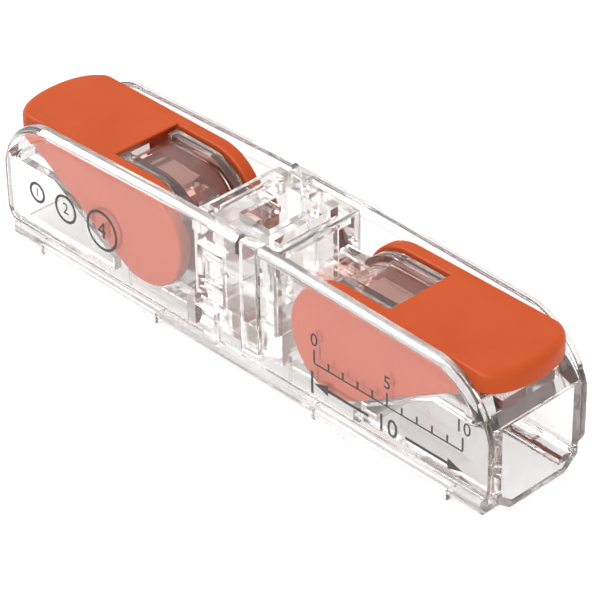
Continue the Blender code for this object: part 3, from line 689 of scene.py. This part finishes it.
def lever():
    deep, hollow_end = 2 * DISC_RADIUS, CHEEK_END + WALL
    roof = DISC_RADIUS - TAB_THICK + 0.4 * MM
    window = [
        (-deep, -deep),
        (hollow_end, -deep),
        (hollow_end, roof),
        (WINDOW_OUT + 0.7 * MM, roof),
        (WINDOW_OUT, DISC_RADIUS),
        (WINDOW_OUT, deep),
        (-deep, deep),
    ]
    blank = slab("lever_blank", lever_side(), "XZ", -HALF_WIDTH, HALF_WIDTH)
    shape = worked(
        blank,
        [
            ("INTERSECT", slab("lever_plan", lever_plan(), "XY", -deep, deep)),
            ("DIFFERENCE", slab("window", window, "XZ", -CHEEK_INNER, CHEEK_INNER)),
        ],
    )
    weigh_edges(shape)
    shaped = bpy.data.objects.new("lever_shaped", shape)
    workshop.objects.link(shaped)
    bevel = rounded(shaped, TAB_ROUND, 5).modifiers["rounded_edges"]
    bevel.limit_method = "WEIGHT"
    bevel.use_clamp_overlap = False
    bevel.loop_slide = False
    cam_low, cam_high = CHEEK_INNER - 0.25 * MM, CHEEK_INNER + CHEEK / 3
    steps = []
    for side in (-1, 1):
        cam = slab(f"cam_{side}", cam_outline(), "XZ", *span(side, cam_low, cam_high))
        steps.append(("UNION", cam))
    return worked(shaped, steps)


lever_mesh = lever()
lever_mesh.transform(Matrix.Translation((PIVOT_X, 0.0, PIVOT_Z)))
ORANGE = orange_polyamide()
for end, mouth in ((1, "right"), (-1, "left")):
    name = f"{mouth}_lever"
    shown(f"orange_{name}", half_turned(lever_mesh, end), ORANGE, "orange_plastic", name, name)

# Housing shell
# Clear polycarbonate body pushed down over everything: two side walls whose top edges are rounded rails, a
# bar, jambs and a short roof at each wire mouth, and slots and windows in the middle for the carrier's
# lugs and the base's hooks.
RAIL_TOP = 8.45 * MM
RAIL_FALL = 0.32 * MM  # how much lower the rail is where its end curve starts
RAIL_DEPTH = 1.05 * MM
RAIL_LEVEL = 3.9 * MM  # middle to where the rail begins to fall
CORNER_LENGTH = 3.55 * MM
CORNER_FOOT = 4.6 * MM
WALL_INNER = HALF_WIDTH - WALL
WALL_BOTTOM = FLANGE_TOP + FIT
BAR = (5.1 * MM, 6.4 * MM)  # lower and upper height of the bar over a mouth
JAMB_INNER = 2.45 * MM


def corner_curve(inset_x, inset_z, stop=0.0):
    """End curve of a side wall, from its top down to the angle stop, set in from the outline."""
    steps, power = 32, 2 / 1.7
    across = CORNER_LENGTH - inset_x
    up = RAIL_TOP - RAIL_FALL - CORNER_FOOT - inset_z
    curve = []
    for i in range(steps + 1):
        a = math.radians(90.0 + (stop - 90.0) * i / steps)
        x = END - CORNER_LENGTH + across * max(math.cos(a), 0.0) ** power
        z = CORNER_FOOT + up * max(math.sin(a), 0.0) ** power
        curve.append((x, z))
    return curve


def wall_outline():
    inset, toe_length, toe_height, steps = RAIL_DEPTH / 2, 0.55 * MM, 0.9 * MM, 12
    half = [(RAIL_LEVEL, RAIL_TOP - inset), *corner_curve(MERGE, inset)]
    for i in range(steps + 1):
        a = math.pi / 2 * (1 - i / steps)
        x = END - MERGE - toe_length * (1 - math.sin(a))
        half.append((x, WALL_BOTTOM + toe_height * (1 - math.cos(a))))
    return half + mirrored(half)[::-1]


def rail_section():
    """Rail cut across, as distances out from the middle and down from its top, with a steep outer face."""
    inner, outer, small, broad = WALL_INNER + 0.03 * MM, WALL_INNER + 0.65 * MM, 0.1 * MM, 0.25 * MM
    face, tilt, bulge, quarter = 0.42 * MM, math.radians(55.0), math.radians(8.0), math.pi / 2
    lower, upper = tilt + bulge, tilt - bulge
    radius = face / 2 / math.sin(bulge)
    shoulder = outer - radius * (math.sin(lower) - math.sin(upper)) - broad * math.sin(upper)
    rest = radius - broad
    centre = (shoulder - rest * math.sin(upper), broad + rest * math.cos(upper))
    outside = arc(centre, radius, lower - quarter, upper - quarter)
    over = arc((shoulder, broad), broad, upper - quarter, -quarter)[1:]
    inside = arc((inner + small, small), small, -quarter, -2 * quarter)
    foot = [(inner, RAIL_DEPTH), (outer - small, RAIL_DEPTH), (outer, RAIL_DEPTH - small)]
    return outside + over + inside + foot


def rail(side):
    """Rail along the top of a wall, from one mouth to the other."""
    stop = 22.0
    lines = []
    for out, down in rail_section():
        half = [(RAIL_LEVEL, RAIL_TOP - down), *corner_curve(down, down, stop)]
        lines.append([(x, side * out, z) for x, z in mirrored(half)[::-1] + half])
    return loft(f"rail_{side}", list(zip(*lines)))


def jamb_outline():
    """Thick lower part of a wall beside the wire, cut off along the slanted edge of the cheek."""
    front, back, low, high = END - 2 * MERGE, 9.2 * MM, 1.6 * MM, BAR[0] + MERGE
    under = (PIVOT_X + CHEEK_END, PIVOT_Z + DISC_RADIUS - TAB_THICK)
    slope, clear = 0.6, 0.25 * MM
    line = [(x, under[1] - clear - slope * (under[0] - x)) for x in (back, front)]
    share = (high - line[0][1]) / (line[1][1] - line[0][1])
    corner = (back + share * (front - back), high)
    return [(front, low), (front, high), corner, line[0], (back, low)]


def housing_shell():
    wall_round, bar_round = 0.1 * MM, 0.15 * MM
    near_wall = slab("near_wall", wall_outline(), "XZ", -HALF_WIDTH, -WALL_INNER)
    rounded(near_wall, wall_round)
    far_wall = slab("far_wall", wall_outline(), "XZ", WALL_INNER, HALF_WIDTH)
    rounded(far_wall, wall_round)
    bar_depth, roof_length, channel, roof = 1.3 * MM, 4.4 * MM, 1.95 * MM, 1.1 * MM
    bars = []
    for end in (1, -1):
        curve = corner_curve(2 * MERGE, RAIL_DEPTH)
        front = [(x, z) for x, z in curve if x > END - bar_depth and BAR[0] < z < BAR[1]]
        outline = [
            (END - bar_depth, BAR[0]),
            (END - bar_depth, BAR[1]),
            *front,
            (END - 2 * MERGE, BAR[0]),
        ]
        outline = outline if end > 0 else mirrored(outline)
        reach = WALL_INNER + WALL / 2
        bars.append(rounded(slab(f"bar_{end}", outline, "XZ", -reach, reach), bar_round, 4))
    steps = [("UNION", bars[0]), ("UNION", far_wall), ("UNION", bars[1])]
    for end in (1, -1):
        x = span(end, END - bar_depth - roof_length, END - bar_depth / 2)
        low = BAR[0] + MERGE
        ceiling = brick(f"roof_{end}", (x[0], -channel, low), (x[1], channel, low + roof))
        steps.append(("UNION", ceiling))
        for side in (-1, 1):
            outline = jamb_outline() if end > 0 else mirrored(jamb_outline())
            y = span(side, JAMB_INNER, WALL_INNER + MERGE)
            steps.append(("UNION", slab(f"jamb_{end}_{side}", outline, "XZ", *y)))
    for side in (-1, 1):
        steps.append(("UNION", rail(side)))
        y = span(side, WALL_INNER - WALL, HALF_WIDTH + WALL)
        hook, lug, play = side * HOOK_X, -side * LUG_X, 0.2 * MM
        hook_half, lug_half = HOOK_HALF + play, LUG_WIDTH / 2 + FIT
        sight = span(side, *SIGHT)
        openings = (
            (hook - hook_half, hook + hook_half, HOOK_BARB[0] - play, HOOK_BARB[1] + play),
            (lug - lug_half, lug + lug_half, LUG_BOTTOM - FIT, RAIL_TOP + WALL),
            (*sight, *SIGHT_HEIGHTS),
        )
        for i, (left, right, low, high) in enumerate(openings):
            opening = brick(f"opening_{side}_{i}", (left, y[0], low), (right, y[1], high))
            steps.append(("DIFFERENCE", opening))
    return worked(near_wall, steps)


CLEAR_SHELL = clear_polycarbonate("clear_shell_plastic", 0.985, 240.0)
shown("clear_housing_shell", housing_shell(), CLEAR_SHELL, "clear_plastic", "housing", "housing_shell")

# Strip gauge
# Pad-printed on each side wall in dark grey ink: a scale for how much of the wire to strip, and rings as
# wide as the wires that fit.
INK_FILM = 0.012 * MM
INK_GAP = 0.004 * MM
LINE = 0.16 * MM


def dark_ink():
    finish = bpy.data.materials.new("dark_ink")
    tree, shader = shader_of(finish)
    place = node(tree, "ShaderNodeTexCoord").outputs["Object"]
    dots = node(tree, "ShaderNodeTexNoise", Vector=place, Scale=12000.0, Detail=2.0)
    tone = node(tree, "ShaderNodeValToRGB", Fac=dots.outputs["Fac"])
    tone.color_ramp.elements[0].color = (0.020, 0.019, 0.019, 1.0)
    tone.color_ramp.elements[1].color = (0.046, 0.044, 0.044, 1.0)
    tree.links.new(tone.outputs["Color"], shader.inputs["Base Color"])
    matt = node(tree, "ShaderNodeMapRange", Value=dots.outputs["Fac"], To_Min=0.45, To_Max=0.65)
    tree.links.new(matt.outputs["Result"], shader.inputs["Roughness"])
    return finish


def bar_mark(x, z, length, height):
    """A printed bar round its middle."""
    u, v = length / 2, height / 2
    return [(x - u, z - v), (x + u, z - v), (x + u, z + v), (x - u, z + v)]


def ring_mark(x, z, radius):
    """A printed ring, as two halves."""
    halves = []
    for start in (0.0, math.pi):
        outer = arc((x, z), radius, start, start + math.pi)
        inner = arc((x, z), radius - LINE, start + math.pi, start)
        halves.append(outer + inner)
    return halves


def figure(text, x, z, size):
    """A plain number, read from outside the near wall."""
    letters = bpy.data.curves.new("figure", "FONT")
    letters.body = text
    letters.size = size
    letters.align_x = "CENTER"
    letters.align_y = "CENTER"
    letters.extrude = INK_FILM / 2
    letters.resolution_u = 4
    guide = bpy.data.objects.new("figure", letters)
    workshop.objects.link(guide)
    graph = bpy.context.evaluated_depsgraph_get()
    mesh = bpy.data.meshes.new_from_object(guide.evaluated_get(graph))
    bpy.data.objects.remove(guide)
    depth = -HALF_WIDTH - INK_GAP - INK_FILM / 2
    mesh.transform(Matrix.Translation((x, depth, z)) @ Matrix.Rotation(math.pi / 2, 4, "X"))
    return mesh


def wall_print():
    first, last, arrow_z, head, head_half = 6.0 * MM, 16.0 * MM, 2.3 * MM, 0.95 * MM, 0.3 * MM
    middle, gap = (first + last) / 2, 1.25 * MM
    marks = [bar_mark(first - LINE, arrow_z, LINE, 1.3 * MM)]
    for tip, way in ((first, 1), (last, -1)):
        neck, stop = tip + way * head, middle - way * gap
        marks.append([(tip, arrow_z), (neck, arrow_z - head_half), (neck, arrow_z + head_half)])
        marks.append(bar_mark((neck + stop) / 2, arrow_z, abs(stop - neck), LINE))
    figures = [figure("10", middle, arrow_z, 1.5 * MM)]
    scale_z, pitch = 3.5 * MM, 1.0 * MM
    marks.append(bar_mark(middle, scale_z, last - first, LINE / 2))
    for i in range(11):
        height = 0.75 * MM if i % 5 == 0 else 0.4 * MM
        marks.append(bar_mark(first + i * pitch, scale_z + LINE / 4 + height / 2, LINE * 0.7, height))
    for i in (0, 5, 10):
        figures.append(figure(str(i), first + i * pitch, scale_z + 1.35 * MM, 1.05 * MM))
    ring_z = 3.9 * MM
    rings = (
        (-15.0 * MM, 0.62 * MM, "1"),
        (-12.7 * MM, 0.85 * MM, "2"),
        (-9.8 * MM, 1.2 * MM, "4"),
    )
    for x, bore, square in rings:
        marks += ring_mark(x, ring_z, bore)
        figures.append(figure(square, x, ring_z, bore * 1.15))
    shape = bmesh.new()
    for number, outline in enumerate(marks):
        ink_back = -HALF_WIDTH - INK_GAP
        mark = slab(f"mark_{number}", outline, "XZ", ink_back - INK_FILM, ink_back)
        shape.from_mesh(mark.data)
        bpy.data.objects.remove(mark)
    for mesh in figures:
        shape.from_mesh(mesh)
    printed = bpy.data.meshes.new("wall_print")
    shape.to_mesh(printed)
    shape.free()
    return printed


INK = dark_ink()
print_mesh = wall_print()
for side, wall in ((1, "near"), (-1, "far")):
    shown(f"{wall}_wall_gauge", half_turned(print_mesh, side), INK, None, "housing")

# Studio
# A pale floor under a white surround, with a soft box overhead, a fill from the front and a long lamp that
# lights the rails. The camera stands where the photograph was taken from.
bpy.data.collections.remove(workshop)
scene = bpy.context.scene
scene.view_settings.view_transform = "Standard"
scene.cycles.max_bounces = 32  # light turns many times inside clear plastic
scene.cycles.glossy_bounces = 24
scene.cycles.transmission_bounces = 24


def seen_directly(tree):
    """1 for rays from the camera, a reflection or a see-through piece, 0 for light that falls."""
    path = node(tree, "ShaderNodeLightPath")
    total = path.outputs["Is Camera Ray"]
    for name in ("Is Glossy Ray", "Is Transmission Ray"):
        larger = node(tree, "ShaderNodeMath")
        larger.operation = "MAXIMUM"
        tree.links.new(total, larger.inputs[0])
        tree.links.new(path.outputs[name], larger.inputs[1])
        total = larger.outputs[0]
    return total


world = bpy.data.worlds.new("white_surround")
scene.world = world
world.use_nodes = True
tree = world.node_tree
tree.nodes.clear()
falling = node(tree, "ShaderNodeBackground", Color=(1.0, 1.0, 1.0, 1.0), Strength=0.75)
seen = node(tree, "ShaderNodeBackground", Color=(1.0, 1.0, 1.0, 1.0), Strength=1.0)
mixed = node(tree, "ShaderNodeMixShader", Fac=seen_directly(tree))
tree.links.new(falling.outputs[0], mixed.inputs[1])
tree.links.new(seen.outputs[0], mixed.inputs[2])
tree.links.new(mixed.outputs[0], node(tree, "ShaderNodeOutputWorld").inputs["Surface"])

FLOOR_HALF = 0.6
FLOOR_DROP = 0.02 * MM
FLOOR_GLOW = 0.62
floor_mesh = bpy.data.meshes.new("studio_floor")
corners = [(-1, -1), (1, -1), (1, 1), (-1, 1)]
points = [(x * FLOOR_HALF, y * FLOOR_HALF, -FLOOR_DROP) for x, y in corners]
floor_mesh.from_pydata(points, [], [(0, 1, 2, 3)])
floor = bpy.data.objects.new("studio_floor", floor_mesh)
scene.collection.objects.link(floor)
paper = bpy.data.materials.new("white_paper")
paper.use_nodes = True
tree = paper.node_tree
tree.nodes.clear()
matt = node(tree, "ShaderNodeBsdfDiffuse", Color=(0.8, 0.8, 0.8, 1.0))
bright = node(tree, "ShaderNodeMath", Value=FLOOR_GLOW)
bright.operation = "MULTIPLY"
tree.links.new(seen_directly(tree), bright.inputs[1])
glow = node(tree, "ShaderNodeEmission", Color=(1.0, 1.0, 1.0, 1.0), Strength=bright.outputs[0])
both = node(tree, "ShaderNodeAddShader")
tree.links.new(matt.outputs[0], both.inputs[0])
tree.links.new(glow.outputs[0], both.inputs[1])
tree.links.new(both.outputs[0], node(tree, "ShaderNodeOutputMaterial").inputs["Surface"])
floor_mesh.materials.append(paper)


def lamp(name, place, length, width, watts):
    """A rectangular soft box that faces the connector."""
    made = bpy.data.objects.new(name, bpy.data.lights.new(name, "AREA"))
    scene.collection.objects.link(made)
    made.data.shape = "RECTANGLE"
    made.data.size = length
    made.data.size_y = width
    made.data.energy = watts
    made.location = place
    made.rotation_euler = (-made.location).to_track_quat("-Z", "Y").to_euler()
    return made


lamp("soft_box", place=(-0.06, -0.05, 0.32), length=0.3, width=0.2, watts=0.24)
lamp("side_fill", place=(0.05, -0.4, 0.16), length=0.3, width=0.2, watts=0.2)
glint = lamp("rail_glint", place=(-0.06, -0.31, 0.15), length=0.62, width=0.22, watts=4.2)
glint.visible_diffuse = False  # seen as the long highlight on the rails, and through clear plastic
glint.data.use_nodes = True
tree = glint.data.node_tree
scattered = node(tree, "ShaderNodeLightPath").outputs["Diffuse Depth"]
dimmed = node(tree, "ShaderNodeMapRange", Value=scattered, To_Min=1.0, To_Max=0.4)
tree.links.new(dimmed.outputs["Result"], tree.nodes["Emission"].inputs["Strength"])

AZIMUTH = math.radians(46.87)
ELEVATION = math.radians(34.34)
ROLL = math.radians(-0.96)
DISTANCE = 157.9 * MM
AIM = Vector((0.0, 0.0, 4.4 * MM))
ASIDE = Vector((-1.0 * MM, 1.42 * MM))
FOCUS_PIXELS = 3142.0
PICTURE_PIXELS = 600.0
camera = bpy.data.objects.new("camera", bpy.data.cameras.new("camera"))
scene.collection.objects.link(camera)
back = Vector(
    (
        math.sin(AZIMUTH) * math.cos(ELEVATION),
        -math.cos(AZIMUTH) * math.cos(ELEVATION),
        math.sin(ELEVATION),
    )
)
level = Vector((math.cos(AZIMUTH), math.sin(AZIMUTH), 0.0))
upright = back.cross(level)
right = math.cos(ROLL) * level + math.sin(ROLL) * upright
up = math.cos(ROLL) * upright - math.sin(ROLL) * level
stand = Matrix.Translation(AIM + back * DISTANCE - right * ASIDE.x - up * ASIDE.y)
camera.matrix_world = stand @ Matrix((right, up, back)).transposed().to_4x4()
camera.data.sensor_width = 36.0
camera.data.lens = FOCUS_PIXELS / PICTURE_PIXELS * camera.data.sensor_width
camera.data.clip_start = 0.01
camera.data.clip_end = 10.0
scene.camera = camera
